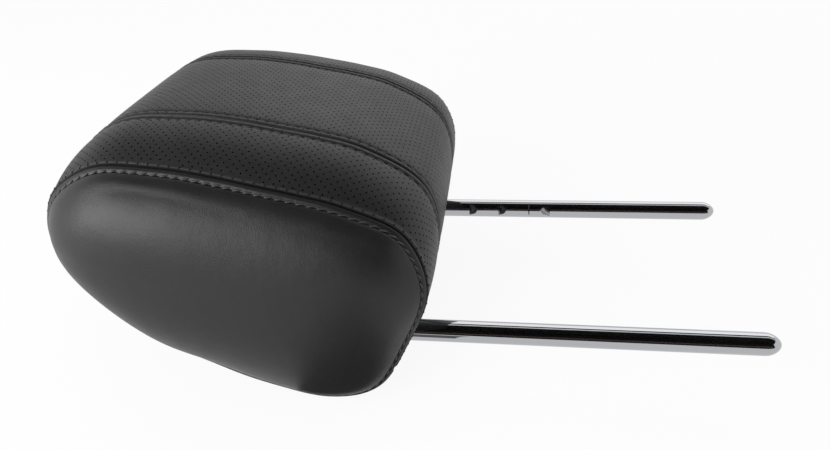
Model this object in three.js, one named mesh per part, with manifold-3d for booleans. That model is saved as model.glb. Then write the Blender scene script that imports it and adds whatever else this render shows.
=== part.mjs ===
// Car headrest lying on its back: stitched leather cover, foam body, clamped insert and a chromed steel rod.
// Millimetres. X runs from the cushion towards the ends of the posts, Y across the width, Z up from the
// surface the headrest lies on. The front of the headrest faces up.

import * as THREE from 'three';
import { mergeVertices } from 'three/addons/utils/BufferGeometryUtils.js';
import Module from 'manifold-3d';

const wasm = await Module();
wasm.setup();

// Driving dimensions of the cushion. Each point of the outline is on the side seam, seen from the side and
// measured from the place where the posts leave the cushion. crown is how far the middle of the cushion
// stands proud of the side seam there, and half is the distance of the seam from the middle.
const OUTLINE = [
  { x: -176.6, z: 68.6, crown: 1, half: 82 },
  { x: -174.4, z: 101, crown: 5, half: 79.5 },
  { x: -148.2, z: 121.3, crown: 9, half: 78.5 },
  { x: -115, z: 123.6, crown: 11, half: 79 },
  { x: -88, z: 121.4, crown: 12, half: 80 },
  { x: -69, z: 118.8, crown: 12, half: 81 },
  { x: -50, z: 115.6, crown: 12.5, half: 81 },
  { x: -28, z: 110.6, crown: 12, half: 81 },
  { x: -1, z: 98.6, crown: 7.5, half: 82 },
  { x: 10.4, z: 70.2, crown: 2, half: 85.5 },
  { x: 1.2, z: 39.5, crown: 2.5, half: 91 },
  { x: -13.4, z: 13, crown: 5.5, half: 96.5 },
  { x: -38.7, z: 6.5, crown: 8.5, half: 100 },
  { x: -69, z: 13, crown: 15, half: 100.5 },
  { x: -97, z: 19.5, crown: 19, half: 97 },
  { x: -136.4, z: 30, crown: 11, half: 89.5 },
];
const CROWN_POWER = 5.7; // how late the crown falls away towards the side seam
const SIDE_CENTRE = { x: -66.6, z: 75.9 }; // the middle of a side panel
const SIDE_HALF_WIDTH = 87; // distance of the side panel's middle from the centre plane, before it bulges
const SIDE_BULGE = 17.6; // how far the side panel stands proud of its seam
const SIDE_ROUNDING = 50; // width of the rounded border of the side panel
const SIDE_ROUNDING_POWER = 3.5;
const INNER_SEAM_OFFSET = 42.3; // distance of each inner seam from the centre plane
const REAR_SEAM_TOP = { x: -168, z: 45 }; // where the back cover meets the front cover at the top end

// Driving dimensions of the cover and of what closes it
const COVER_THICKNESS = 3; // leather and the foam laminated to it
const TAPE_THICKNESS = 0.6;
const TAPE_WIDTH = 12;
const STRIP_LENGTH = 92;
const STRIP_DEPTH = 9;
const STRIP_WALL = 1.8;
const STRIP_HOOK = 3;
const STRIP_HEIGHT = 5.2;
const STRIP_COVER_DROP = 12; // from the cover's inside, where the posts leave it, to the strips

// Driving dimensions of the rod
const POST_DIAMETER = 12;
const POST_SPACING = 125;
const POST_EXPOSED = 187;
const POST_HEIGHT = 23.2; // height of the post axis where it leaves the cushion
const POST_RISE = 3.8; // degrees
const LEG_INSIDE = 48; // straight length of each leg inside the cushion
const LEAN = 20; // degrees that the hidden part of the rod leans towards the front
const LEAN_LENGTH = 90; // from the lean bend to the middle of the crossbar
const LEAN_BEND_REACH = 12;
const CORNER_REACH = 26;
const NOSE_LENGTH = 7;
const NOSE_RADIUS = 2.6;
const NOTCH_DEPTH = 2.6;
const NOTCH_PITCH = 20;
const NOTCH_LENGTH = 5.2;
const FIRST_NOTCH = 20; // from the cushion to the square wall of the first notch
const STOP_NOTCH_LENGTH = 14;

// Driving dimensions of the insert that clamps the rod
const SHELL_START = 22; // from the lean bend to the near edge of the insert
const SHELL_WALL = 2.5;
const SHELL_SIDE_MARGIN = 4; // material outside each leg
const SHELL_HALF_DEPTH = 13;
const SHELL_CORNER = 8;
const BOSS_RADIUS = 5.5;
const SCREW_RADIUS = 2;
const SCREW_HEAD_RADIUS = 4;
const SCREW_HEAD_HEIGHT = 2.6;
const SCREW_LENGTH = 17;
const SCREW_INSET = 22; // from the centre line of a leg towards the middle
const SCREW_END_INSET = 14; // from the insert's near edge, and from the crossbar's centre line

// Driving dimensions of the sleeves where the legs leave the foam
const SLEEVE_RADIUS = 9;
const SLEEVE_LENGTH = 16;
const SLEEVE_FLANGE_RADIUS = 10.5;
const SLEEVE_FLANGE_THICKNESS = 2;
const SLEEVE_DEPTH = 18; // from the place where the posts leave the cushion

const CLEARANCE = 0.3; // between neighbouring pieces
const AROUND = OUTLINE.length * 2;
const CIRCLE_SIDES = 16;
const FAR = 400; // reaches past the whole cushion

const radians = THREE.MathUtils.degToRad;
const postRadius = POST_DIAMETER / 2;
const postOffset = POST_SPACING / 2;

// Materials
const perforatedLeather = new THREE.MeshStandardMaterial({ color: 0x2b2b2d, roughness: 0.55, metalness: 0 });
const smoothLeather = new THREE.MeshStandardMaterial({ color: 0x262627, roughness: 0.5, metalness: 0 });
const seamTape = new THREE.MeshStandardMaterial({ color: 0x1a1a1a, roughness: 0.9, metalness: 0 });
const foam = new THREE.MeshStandardMaterial({ color: 0xcfc9b4, roughness: 0.95, metalness: 0 });
const plastic = new THREE.MeshStandardMaterial({ color: 0x202021, roughness: 0.6, metalness: 0 });
const chrome = new THREE.MeshStandardMaterial({ color: 0xd9dadc, roughness: 0.1, metalness: 1 });
const zincSteel = new THREE.MeshStandardMaterial({ color: 0xb9bbb8, roughness: 0.4, metalness: 0.9 });

// Joining and cutting of closed geometries
function toSolid(geometry, matrix) {
  const bare = geometry.clone();
  for (const name of Object.keys(bare.attributes)) {
    if (name !== 'position') bare.deleteAttribute(name);
  }
  if (matrix) bare.applyMatrix4(matrix);
  const merged = mergeVertices(bare, 1e-4);
  const mesh = new wasm.Mesh({
    numProp: 3,
    vertProperties: new Float32Array(merged.attributes.position.array),
    triVerts: new Uint32Array(merged.index.array),
  });
  return new wasm.Manifold(mesh);
}

function toGeometry(solid) {
  const mesh = solid.getMesh();
  const geometry = new THREE.BufferGeometry();
  geometry.setAttribute('position', new THREE.BufferAttribute(new Float32Array(mesh.vertProperties), 3));
  geometry.setIndex(new THREE.BufferAttribute(new Uint32Array(mesh.triVerts), 1));
  geometry.computeVertexNormals();
  return geometry;
}

function placed(x, y, z, turnY = 0) {
  const turn = new THREE.Quaternion().setFromEuler(new THREE.Euler(0, turnY, 0));
  return new THREE.Matrix4().compose(new THREE.Vector3(x, y, z), turn, new THREE.Vector3(1, 1, 1));
}

function block(low, high) {
  const size = [0, 1, 2].map((axis) => high[axis] - low[axis]);
  const middle = [0, 1, 2].map((axis) => (high[axis] + low[axis]) / 2);
  return toSolid(new THREE.BoxGeometry(...size).translate(...middle));
}

// The side seam's outline, as a smooth closed curve with the crown and the half width carried along
const rimCurve = new THREE.CatmullRomCurve3(
  OUTLINE.map((point) => new THREE.Vector3(point.x, 0, point.z)), true, 'catmullrom', 0.5,
);
const widthCurve = new THREE.CatmullRomCurve3(
  OUTLINE.map((point) => new THREE.Vector3(point.crown, point.half, 0)), true, 'catmullrom', 0.5,
);

function rimAt(around) {
  const point = rimCurve.getPoint(around);
  const tangent = rimCurve.getTangent(around);
  const widths = widthCurve.getPoint(around);
  return { x: point.x, z: point.z, outX: -tangent.z, outZ: tangent.x, crown: widths.x, half: widths.y };
}

// The rows of a cushion skin: from the middle of one side panel, over the band, to the other side
const SIDE_SHARES = [1, 0.55, 0.26, 0.1];
const BAND_SHARES = [-1, -0.91, -0.76, -0.48, 0, 0.48, 0.76, 0.91, 1];
const ROWS = SIDE_SHARES.length * 2 + BAND_SHARES.length - 1;

function sidePoint(rim, share, inset) {
  const reach = Math.hypot(SIDE_CENTRE.x - rim.x, SIDE_CENTRE.z - rim.z) - inset;
  const fromSeam = share === 1 ? 1 : Math.min((share * reach) / SIDE_ROUNDING, 1);
  const seamShare = (1 - share) ** 2;
  const flat = rim.half * seamShare + SIDE_HALF_WIDTH * (1 - seamShare);
  return {
    x: THREE.MathUtils.lerp(rim.x - rim.outX * inset, SIDE_CENTRE.x, share),
    z: THREE.MathUtils.lerp(rim.z - rim.outZ * inset, SIDE_CENTRE.z, share),
    y: flat - inset + SIDE_BULGE * (1 - (1 - fromSeam) ** SIDE_ROUNDING_POWER),
  };
}

function bandPoint(rim, share, inset) {
  const out = rim.crown * (1 - Math.abs(share) ** CROWN_POWER) - inset;
  return { x: rim.x + rim.outX * out, z: rim.z + rim.outZ * out, y: share * (rim.half - inset) };
}

function rowPoint(row, rim, inset) {
  if (row < SIDE_SHARES.length) return sidePoint(rim, SIDE_SHARES[row], inset);
  if (row > ROWS - SIDE_SHARES.length) {
    const point = sidePoint(rim, SIDE_SHARES[ROWS - row], inset);
    return { x: point.x, y: -point.y, z: point.z };
  }
  return bandPoint(rim, -BAND_SHARES[row - SIDE_SHARES.length], inset);
}

// The cushion's whole skin, moved inwards by inset, and flat where it rests on the surface below
function cushionSkin(inset) {
  const geometry = new THREE.SphereGeometry(1, AROUND, ROWS);
  const { position, uv } = geometry.attributes;
  for (let i = 0; i < position.count; i++) {
    const row = Math.round((1 - uv.getY(i)) * ROWS);
    const step = Math.floor(uv.getX(i) * AROUND + 0.25) % AROUND;
    const point = rowPoint(row, rimAt(step / AROUND), inset);
    position.setXYZ(i, point.x, point.y, Math.max(point.z, inset));
  }
  return toSolid(geometry);
}

// Everything between the two side seams, widened by margin, as a closed block with ruled ends
function bandZone(margin) {
  const endShares = [1, 0.5, 0, -0.8];
  const rows = endShares.length * 2 - 1;
  const geometry = new THREE.SphereGeometry(1, AROUND, rows);
  const { position, uv } = geometry.attributes;
  for (let i = 0; i < position.count; i++) {
    const row = Math.round((1 - uv.getY(i)) * rows);
    const step = Math.floor(uv.getX(i) * AROUND + 0.25) % AROUND;
    const rim = rimAt(step / AROUND);
    const share = endShares[Math.min(row, rows - row)];
    const side = row < endShares.length ? 1 : -1;
    const half = share === 1 ? SIDE_HALF_WIDTH : rim.half;
    position.setXYZ(
      i,
      THREE.MathUtils.lerp(rim.x, SIDE_CENTRE.x, share),
      side * (half + margin),
      THREE.MathUtils.lerp(rim.z, SIDE_CENTRE.z, share),
    );
  }
  return toSolid(geometry);
}

// The back cover meets the front bands on a plane through the posts and the rear seam at the top end
const splitAngle = Math.atan2(REAR_SEAM_TOP.z - POST_HEIGHT, REAR_SEAM_TOP.x);
const splitTurn = -(splitAngle - Math.PI);

function behindSplit(margin) {
  const geometry = new THREE.BoxGeometry(FAR * 2, FAR * 2, FAR).translate(0, 0, -FAR / 2 + margin);
  return toSolid(geometry, placed(0, 0, POST_HEIGHT, -splitTurn));
}

// The rod: two legs with rounded ends, and the leaning, hidden bow that joins them. growth makes the
// channel that the rod needs in its neighbours.
const leanTurn = radians(LEAN);

function legGeometry(growth) {
  const radius = postRadius + growth;
  const profile = [
    new THREE.Vector2(0, 0),
    new THREE.Vector2(radius, 0),
    new THREE.Vector2(radius, LEG_INSIDE + POST_EXPOSED - NOSE_LENGTH),
    new THREE.Vector2(radius * 0.93, LEG_INSIDE + POST_EXPOSED - NOSE_LENGTH * 0.55),
    new THREE.Vector2(radius * 0.74, LEG_INSIDE + POST_EXPOSED - NOSE_LENGTH * 0.18),
    new THREE.Vector2(NOSE_RADIUS, LEG_INSIDE + POST_EXPOSED),
    new THREE.Vector2(0, LEG_INSIDE + POST_EXPOSED),
  ];
  return new THREE.LatheGeometry(profile, CIRCLE_SIDES).rotateZ(-Math.PI / 2).translate(-LEG_INSIDE, 0, 0);
}

function circleShape(radius, sides) {
  const points = [];
  for (let i = 0; i < sides; i++) {
    const angle = ((i + 0.5) / sides) * Math.PI * 2;
    points.push(new THREE.Vector2(Math.cos(angle) * radius, Math.sin(angle) * radius));
  }
  return new THREE.Shape(points);
}

function bowPath() {
  const lean = (along, y) => new THREE.Vector3(
    -LEG_INSIDE - Math.cos(leanTurn) * along, y, Math.sin(leanTurn) * along,
  );
  const path = new THREE.CurvePath();
  const start = new THREE.Vector3(-LEG_INSIDE + LEAN_BEND_REACH + 6, postOffset, 0);
  const bendIn = new THREE.Vector3(-LEG_INSIDE + LEAN_BEND_REACH, postOffset, 0);
  path.add(new THREE.LineCurve3(start, bendIn));
  path.add(new THREE.QuadraticBezierCurve3(bendIn, lean(0, postOffset), lean(LEAN_BEND_REACH, postOffset)));
  const cornerIn = lean(LEAN_LENGTH - CORNER_REACH, postOffset);
  const cornerOut = lean(LEAN_LENGTH, postOffset - CORNER_REACH);
  const otherOut = lean(LEAN_LENGTH, CORNER_REACH - postOffset);
  const otherIn = lean(LEAN_LENGTH - CORNER_REACH, -postOffset);
  path.add(new THREE.LineCurve3(lean(LEAN_BEND_REACH, postOffset), cornerIn));
  path.add(new THREE.QuadraticBezierCurve3(cornerIn, lean(LEAN_LENGTH, postOffset), cornerOut));
  path.add(new THREE.LineCurve3(cornerOut, otherOut));
  path.add(new THREE.QuadraticBezierCurve3(otherOut, lean(LEAN_LENGTH, -postOffset), otherIn));
  path.add(new THREE.LineCurve3(otherIn, lean(LEAN_BEND_REACH, -postOffset)));
  const otherBendIn = new THREE.Vector3(-LEG_INSIDE + LEAN_BEND_REACH, -postOffset, 0);
  const otherStart = new THREE.Vector3(start.x, -postOffset, 0);
  path.add(new THREE.QuadraticBezierCurve3(lean(LEAN_BEND_REACH, -postOffset), lean(0, -postOffset), otherBendIn));
  path.add(new THREE.LineCurve3(otherBendIn, otherStart));
  return path;
}

const BOW_STEPS = 32;
const BOW_SIDES = 12;

function bowGeometry(growth) {
  return new THREE.ExtrudeGeometry(circleShape(postRadius + growth, BOW_SIDES), {
    steps: BOW_STEPS, bevelEnabled: false, extrudePath: bowPath(),
  });
}

function rodSolid(growth) {
  const legLength = LEG_INSIDE - LEAN_BEND_REACH;
  const trimmed = block([-legLength, -FAR, -FAR], [FAR, FAR, FAR]);
  const left = toSolid(legGeometry(growth).translate(0, -postOffset, 0));
  const right = toSolid(legGeometry(growth).translate(0, postOffset, 0));
  return left.add(right).intersect(trimmed).add(toSolid(bowGeometry(growth)));
}

// A height notch in the right leg's inner side: a square wall on the cushion's side and a ramp to the end
function notch(start, length, rampShare) {
  const inner = postOffset - postRadius;
  const shape = new THREE.Shape([
    new THREE.Vector2(start, inner - 2),
    new THREE.Vector2(start + length, inner - 2),
    new THREE.Vector2(start + length, inner),
    new THREE.Vector2(start + length * rampShare, inner + NOTCH_DEPTH),
    new THREE.Vector2(start, inner + NOTCH_DEPTH),
  ]);
  const geometry = new THREE.ExtrudeGeometry(shape, { depth: POST_DIAMETER + 4, bevelEnabled: false });
  return toSolid(geometry.translate(0, 0, -postRadius - 2));
}

function postRod() {
  const secondNotch = FIRST_NOTCH + NOTCH_PITCH;
  const stopNotch = secondNotch + NOTCH_PITCH;
  return rodSolid(0)
    .subtract(notch(FIRST_NOTCH, NOTCH_LENGTH, 0.45))
    .subtract(notch(secondNotch, NOTCH_LENGTH, 0.45))
    .subtract(notch(stopNotch, STOP_NOTCH_LENGTH, 0.97));
}

// The insert: two trays that meet on the plane of the leaning rod, with bosses for the screws
const shellHalfWidth = postOffset + postRadius + SHELL_SIDE_MARGIN;
const shellNear = -SHELL_START;
const shellFar = -LEAN_LENGTH - postRadius - SHELL_SIDE_MARGIN;
const insertPlace = placed(-LEG_INSIDE, 0, 0, leanTurn);
const insertInverse = insertPlace.clone().invert();
const screwPlaces = [];
for (const along of [shellNear - SCREW_END_INSET, SCREW_END_INSET - LEAN_LENGTH]) {
  for (const side of [-1, 1]) screwPlaces.push({ x: along, y: side * (postOffset - SCREW_INSET) });
}

function roundedPlate(inset, bottom, top) {
  const shape = new THREE.Shape();
  const corner = SHELL_CORNER - inset;
  const [x0, x1] = [shellFar + inset, shellNear - inset];
  const [y0, y1] = [-shellHalfWidth + inset, shellHalfWidth - inset];
  shape.moveTo(x0 + corner, y0);
  shape.lineTo(x1 - corner, y0);
  shape.absarc(x1 - corner, y0 + corner, corner, -Math.PI / 2, 0);
  shape.lineTo(x1, y1 - corner);
  shape.absarc(x1 - corner, y1 - corner, corner, 0, Math.PI / 2);
  shape.lineTo(x0 + corner, y1);
  shape.absarc(x0 + corner, y1 - corner, corner, Math.PI / 2, Math.PI);
  shape.lineTo(x0, y0 + corner);
  shape.absarc(x0 + corner, y0 + corner, corner, Math.PI, Math.PI * 1.5);
  const options = { depth: top - bottom, bevelEnabled: false, curveSegments: 3 };
  return toSolid(new THREE.ExtrudeGeometry(shape, options).translate(0, 0, bottom));
}

function roundBar(radius, bottom, top, place) {
  const geometry = new THREE.CylinderGeometry(radius, radius, top - bottom, CIRCLE_SIDES);
  return toSolid(geometry.rotateX(Math.PI / 2).translate(place.x, place.y, (top + bottom) / 2));
}

function rodInInsertFrame(growth) {
  return toSolid(toGeometry(rodSolid(growth)), insertInverse);
}

function insertShell(side) {
  const face = CLEARANCE / 2;
  const outer = side > 0
    ? roundedPlate(0, face, SHELL_HALF_DEPTH)
    : roundedPlate(0, -SHELL_HALF_DEPTH, -face);
  const inner = side > 0
    ? roundedPlate(SHELL_WALL, -1, SHELL_HALF_DEPTH - SHELL_WALL)
    : roundedPlate(SHELL_WALL, -SHELL_HALF_DEPTH + SHELL_WALL, 1);
  let shell = outer.subtract(inner);
  const saddles = [-1, 1].map((leg) => block(
    [shellFar + SHELL_WALL / 2, leg * postOffset - postRadius - SHELL_WALL, side > 0 ? face : -SHELL_HALF_DEPTH + 1],
    [shellNear - SHELL_WALL / 2, leg * postOffset + postRadius + SHELL_WALL, side > 0 ? SHELL_HALF_DEPTH - 1 : -face],
  ));
  for (const saddle of saddles) shell = shell.add(saddle.intersect(outer));
  for (const place of screwPlaces) {
    const [bottom, top] = side > 0 ? [face, SHELL_HALF_DEPTH - 1] : [-SHELL_HALF_DEPTH + 1, -face];
    shell = shell.add(roundBar(BOSS_RADIUS, bottom, top, place));
    shell = shell.subtract(roundBar(SCREW_RADIUS + CLEARANCE, -FAR, SCREW_LENGTH - screwSeat, place));
    if (side < 0) {
      shell = shell.subtract(roundBar(SCREW_HEAD_RADIUS + CLEARANCE, -FAR, -screwSeat, place));
    }
  }
  return shell.subtract(rodInInsertFrame(CLEARANCE));
}

const screwSeat = SHELL_HALF_DEPTH - SCREW_HEAD_HEIGHT - CLEARANCE;

function screwGeometry() {
  const profile = [
    new THREE.Vector2(0, -SCREW_HEAD_HEIGHT + 1.2),
    new THREE.Vector2(1.4, -SCREW_HEAD_HEIGHT + 1.2),
    new THREE.Vector2(1.4, -SCREW_HEAD_HEIGHT),
    new THREE.Vector2(SCREW_HEAD_RADIUS * 0.7, -SCREW_HEAD_HEIGHT),
    new THREE.Vector2(SCREW_HEAD_RADIUS, -SCREW_HEAD_HEIGHT * 0.4),
    new THREE.Vector2(SCREW_HEAD_RADIUS, -CLEARANCE),
    new THREE.Vector2(SCREW_RADIUS, -CLEARANCE),
    new THREE.Vector2(SCREW_RADIUS, SCREW_LENGTH - 3),
    new THREE.Vector2(0, SCREW_LENGTH - 1),
  ];
  return new THREE.LatheGeometry(profile, 10).rotateX(Math.PI / 2);
}

// The sleeves that line the foam round the legs
function sleeveGeometry() {
  const bore = postRadius + CLEARANCE;
  const profile = [
    new THREE.Vector2(bore, -SLEEVE_LENGTH),
    new THREE.Vector2(SLEEVE_RADIUS, -SLEEVE_LENGTH),
    new THREE.Vector2(SLEEVE_RADIUS, -SLEEVE_FLANGE_THICKNESS),
    new THREE.Vector2(SLEEVE_FLANGE_RADIUS, -SLEEVE_FLANGE_THICKNESS),
    new THREE.Vector2(SLEEVE_FLANGE_RADIUS, 0),
    new THREE.Vector2(bore, 0),
    new THREE.Vector2(bore, -SLEEVE_LENGTH),
  ];
  return new THREE.LatheGeometry(profile, CIRCLE_SIDES).rotateZ(-Math.PI / 2);
}

function sleeveRoom(leg) {
  const growth = CLEARANCE;
  const body = new THREE.CylinderGeometry(
    SLEEVE_RADIUS + growth, SLEEVE_RADIUS + growth, SLEEVE_LENGTH + growth * 2, CIRCLE_SIDES,
  ).rotateZ(-Math.PI / 2).translate(-SLEEVE_DEPTH - SLEEVE_LENGTH / 2, leg * postOffset, 0);
  const flangeLength = SLEEVE_FLANGE_THICKNESS + growth * 2;
  const flange = new THREE.CylinderGeometry(
    SLEEVE_FLANGE_RADIUS + growth, SLEEVE_FLANGE_RADIUS + growth, flangeLength, CIRCLE_SIDES,
  ).rotateZ(-Math.PI / 2).translate(-SLEEVE_DEPTH - SLEEVE_FLANGE_THICKNESS / 2, leg * postOffset, 0);
  return toSolid(body).add(toSolid(flange));
}

// The closure strips: two hooked profiles that hold the cover's edges together between the posts
const stripTop = -COVER_THICKNESS - STRIP_COVER_DROP;

function stripGeometry(side) {
  const h = STRIP_HEIGHT * side;
  const w = STRIP_WALL * side;
  const gap = (CLEARANCE / 2) * side;
  const points = side > 0
    ? [
      [stripTop, gap + w], [stripTop, h], [stripTop - STRIP_DEPTH, h],
      [stripTop - STRIP_DEPTH, gap], [stripTop - STRIP_DEPTH + STRIP_HOOK, gap],
      [stripTop - STRIP_DEPTH + STRIP_HOOK, gap + w],
    ]
    : [
      [stripTop, h], [stripTop, gap], [stripTop - STRIP_DEPTH + STRIP_HOOK + CLEARANCE, gap],
      [stripTop - STRIP_DEPTH + STRIP_HOOK + CLEARANCE, gap + w], [stripTop - STRIP_DEPTH, gap + w],
      [stripTop - STRIP_DEPTH, h],
    ];
  const shape = new THREE.Shape(points.map(([x, z]) => new THREE.Vector2(x, z)));
  const geometry = new THREE.ExtrudeGeometry(shape, { depth: STRIP_LENGTH, bevelEnabled: false });
  return geometry.rotateX(Math.PI / 2).translate(0, STRIP_LENGTH / 2, 0);
}

function stripRoom() {
  const growth = CLEARANCE;
  return block(
    [stripTop - STRIP_DEPTH - growth, -STRIP_LENGTH / 2 - growth, -STRIP_HEIGHT - growth],
    [FAR, STRIP_LENGTH / 2 + growth, STRIP_HEIGHT + growth],
  );
}

// Places in the cushion's frame
const postPlace = placed(0, 0, POST_HEIGHT, -radians(POST_RISE));
const inCushionFrame = (solid, extra) => toSolid(toGeometry(solid), extra ? postPlace.clone().multiply(extra) : postPlace);

// The cover's five panels and the back
const outerSkin = cushionSkin(0);
const coverShell = outerSkin.subtract(cushionSkin(COVER_THICKNESS));
const gapHalf = CLEARANCE / 2;
const bands = coverShell.intersect(bandZone(-gapHalf));
const sides = coverShell.subtract(bandZone(gapHalf));
const legHoles = inCushionFrame(rodSolid(CLEARANCE));
const frontBands = bands.subtract(behindSplit(gapHalf)).subtract(legHoles);
const seam = INNER_SEAM_OFFSET;

const coverPieces = {
  cover_front_left: frontBands.intersect(block([-FAR, -FAR, -FAR], [FAR, -seam - gapHalf, FAR])),
  cover_front_centre: frontBands.intersect(block([-FAR, -seam + gapHalf, -FAR], [FAR, seam - gapHalf, FAR])),
  cover_front_right: frontBands.intersect(block([-FAR, seam + gapHalf, -FAR], [FAR, FAR, FAR])),
  cover_back: bands.intersect(behindSplit(-gapHalf)).subtract(legHoles),
  cover_side_left: sides.intersect(block([-FAR, -FAR, -FAR], [FAR, 0, FAR])),
  cover_side_right: sides.intersect(block([-FAR, 0, -FAR], [FAR, FAR, FAR])),
};

// The tapes that the seams are stitched to, in a layer of their own between cover and foam
const tapeOuter = COVER_THICKNESS + CLEARANCE;
const tapeInner = tapeOuter + TAPE_THICKNESS;
const tapeHalf = TAPE_WIDTH / 2;

function seamLayer(outerInset, innerInset) {
  return cushionSkin(outerInset).subtract(cushionSkin(innerInset));
}

function innerSeamZone(side, margin) {
  return block([-FAR, side * seam - tapeHalf - margin, -FAR], [FAR, side * seam + tapeHalf + margin, FAR])
    .subtract(behindSplit(gapHalf - margin));
}

function panelPlug(side, distance) {
  const points = [];
  for (let step = 0; step < AROUND; step++) {
    const rim = rimAt(step / AROUND);
    points.push(new THREE.Vector2(rim.x - rim.outX * distance, rim.z - rim.outZ * distance));
  }
  const geometry = new THREE.ExtrudeGeometry(new THREE.Shape(points), { depth: FAR, bevelEnabled: false });
  geometry.rotateX(Math.PI / 2);
  if (side > 0) geometry.translate(0, FAR + INNER_SEAM_OFFSET, 0);
  else geometry.translate(0, -INNER_SEAM_OFFSET, 0);
  return toSolid(geometry);
}

function sideSeamZone(side, margin) {
  const half = side > 0 ? block([-FAR, 0, -FAR], [FAR, FAR, FAR]) : block([-FAR, -FAR, -FAR], [FAR, 0, FAR]);
  return half
    .subtract(bandZone(-tapeHalf - tapeInner - margin))
    .subtract(panelPlug(side, tapeHalf + tapeInner + margin));
}

const tapeLayer = seamLayer(tapeOuter, tapeInner).subtract(inCushionFrame(rodSolid(CLEARANCE)));
const tapePieces = {
  seam_tape_inner_left: tapeLayer.intersect(innerSeamZone(-1, 0)),
  seam_tape_inner_right: tapeLayer.intersect(innerSeamZone(1, 0)),
  seam_tape_side_left: tapeLayer.intersect(sideSeamZone(-1, 0)),
  seam_tape_side_right: tapeLayer.intersect(sideSeamZone(1, 0)),
};

// The foam body, with room for the insert, the rod, the sleeves, the strips and the tapes
function insertRoom() {
  const growth = CLEARANCE;
  return roundedPlate(-growth, -SHELL_HALF_DEPTH - growth, SHELL_HALF_DEPTH + growth);
}

function foamBody() {
  const tapeRoom = seamLayer(tapeOuter - 1, tapeInner + CLEARANCE);
  let body = cushionSkin(tapeOuter);
  for (const side of [-1, 1]) {
    body = body.subtract(tapeRoom.intersect(innerSeamZone(side, CLEARANCE)));
    body = body.subtract(tapeRoom.intersect(sideSeamZone(side, CLEARANCE)));
    body = body.subtract(inCushionFrame(sleeveRoom(side)));
  }
  return body
    .subtract(inCushionFrame(insertRoom(), insertPlace))
    .subtract(inCushionFrame(rodSolid(CLEARANCE)))
    .subtract(inCushionFrame(stripRoom()));
}

// The scene graph
function mesh(name, geometry, material) {
  const part = new THREE.Mesh(geometry, material);
  part.name = name;
  return part;
}

const cushion = new THREE.Group();
for (const [name, solid] of Object.entries(coverPieces)) {
  cushion.add(mesh(name, toGeometry(solid), name.startsWith('cover_front') ? perforatedLeather : smoothLeather));
}
for (const [name, solid] of Object.entries(tapePieces)) cushion.add(mesh(name, toGeometry(solid), seamTape));
cushion.add(mesh('foam_body', toGeometry(foamBody()), foam));

const posts = new THREE.Group();
posts.position.z = POST_HEIGHT;
posts.rotation.y = -radians(POST_RISE);
posts.add(mesh('post_rod', toGeometry(postRod()), chrome));
for (const [name, side] of [['post_sleeve_left', -1], ['post_sleeve_right', 1]]) {
  const sleeve = mesh(name, sleeveGeometry(), plastic);
  sleeve.position.set(-SLEEVE_DEPTH, side * postOffset, 0);
  posts.add(sleeve);
}
posts.add(mesh('closure_strip_front', stripGeometry(1), plastic));
posts.add(mesh('closure_strip_rear', stripGeometry(-1), plastic));

const insert = new THREE.Group();
insert.position.x = -LEG_INSIDE;
insert.rotation.y = leanTurn;
insert.add(mesh('insert_front_shell', toGeometry(insertShell(1)), plastic));
insert.add(mesh('insert_rear_shell', toGeometry(insertShell(-1)), plastic));
screwPlaces.forEach((place, index) => {
  const screw = mesh(`insert_screw_${index + 1}`, screwGeometry(), zincSteel);
  screw.position.set(place.x, place.y, -screwSeat);
  insert.add(screw);
});
posts.add(insert);
cushion.add(posts);

// The origin is under the middle of the whole headrest, on the surface that it lies on
const headrest = new THREE.Group();
headrest.name = 'headrest';
const bounds = new THREE.Box3().setFromObject(cushion);
cushion.position.set(-(bounds.min.x + bounds.max.x) / 2, -(bounds.min.y + bounds.max.y) / 2, -bounds.min.z);
headrest.add(cushion);

export default headrest;
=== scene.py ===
"""Looks of a car headrest: stitched leather over moulded foam, on a bent and chromed steel rod.

The headrest lies on its back. X runs from the cushion towards the ends of the posts, Y across the
width and Z up. Sizes are in millimetres until a piece is finished, and in metres after that.
"""

import math
from types import SimpleNamespace

import bmesh
import bpy
import numpy as np
from mathutils import Matrix, Vector


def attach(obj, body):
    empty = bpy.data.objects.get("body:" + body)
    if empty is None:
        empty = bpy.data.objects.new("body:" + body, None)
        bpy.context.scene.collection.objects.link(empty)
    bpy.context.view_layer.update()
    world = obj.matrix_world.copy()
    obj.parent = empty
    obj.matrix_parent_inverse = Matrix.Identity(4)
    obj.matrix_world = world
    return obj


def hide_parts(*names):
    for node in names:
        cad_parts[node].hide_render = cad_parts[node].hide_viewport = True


bl_info = {
    "name": "Car headrest",
    "version": (1, 0, 0),
    "blender": (4, 5, 0),
    "location": "View3D > Sidebar > Headrest",
    "description": "A stitched leather car headrest on a chromed rod, lying on its back",
    "category": "Add Mesh",
}

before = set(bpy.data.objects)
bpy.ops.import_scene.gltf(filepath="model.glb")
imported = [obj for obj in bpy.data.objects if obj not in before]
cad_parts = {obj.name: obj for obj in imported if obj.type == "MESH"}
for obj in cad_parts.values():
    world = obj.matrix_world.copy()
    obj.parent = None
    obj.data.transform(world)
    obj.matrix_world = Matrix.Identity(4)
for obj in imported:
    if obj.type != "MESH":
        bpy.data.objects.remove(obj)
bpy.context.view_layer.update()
BODY = "root"
MM = 0.001

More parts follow.
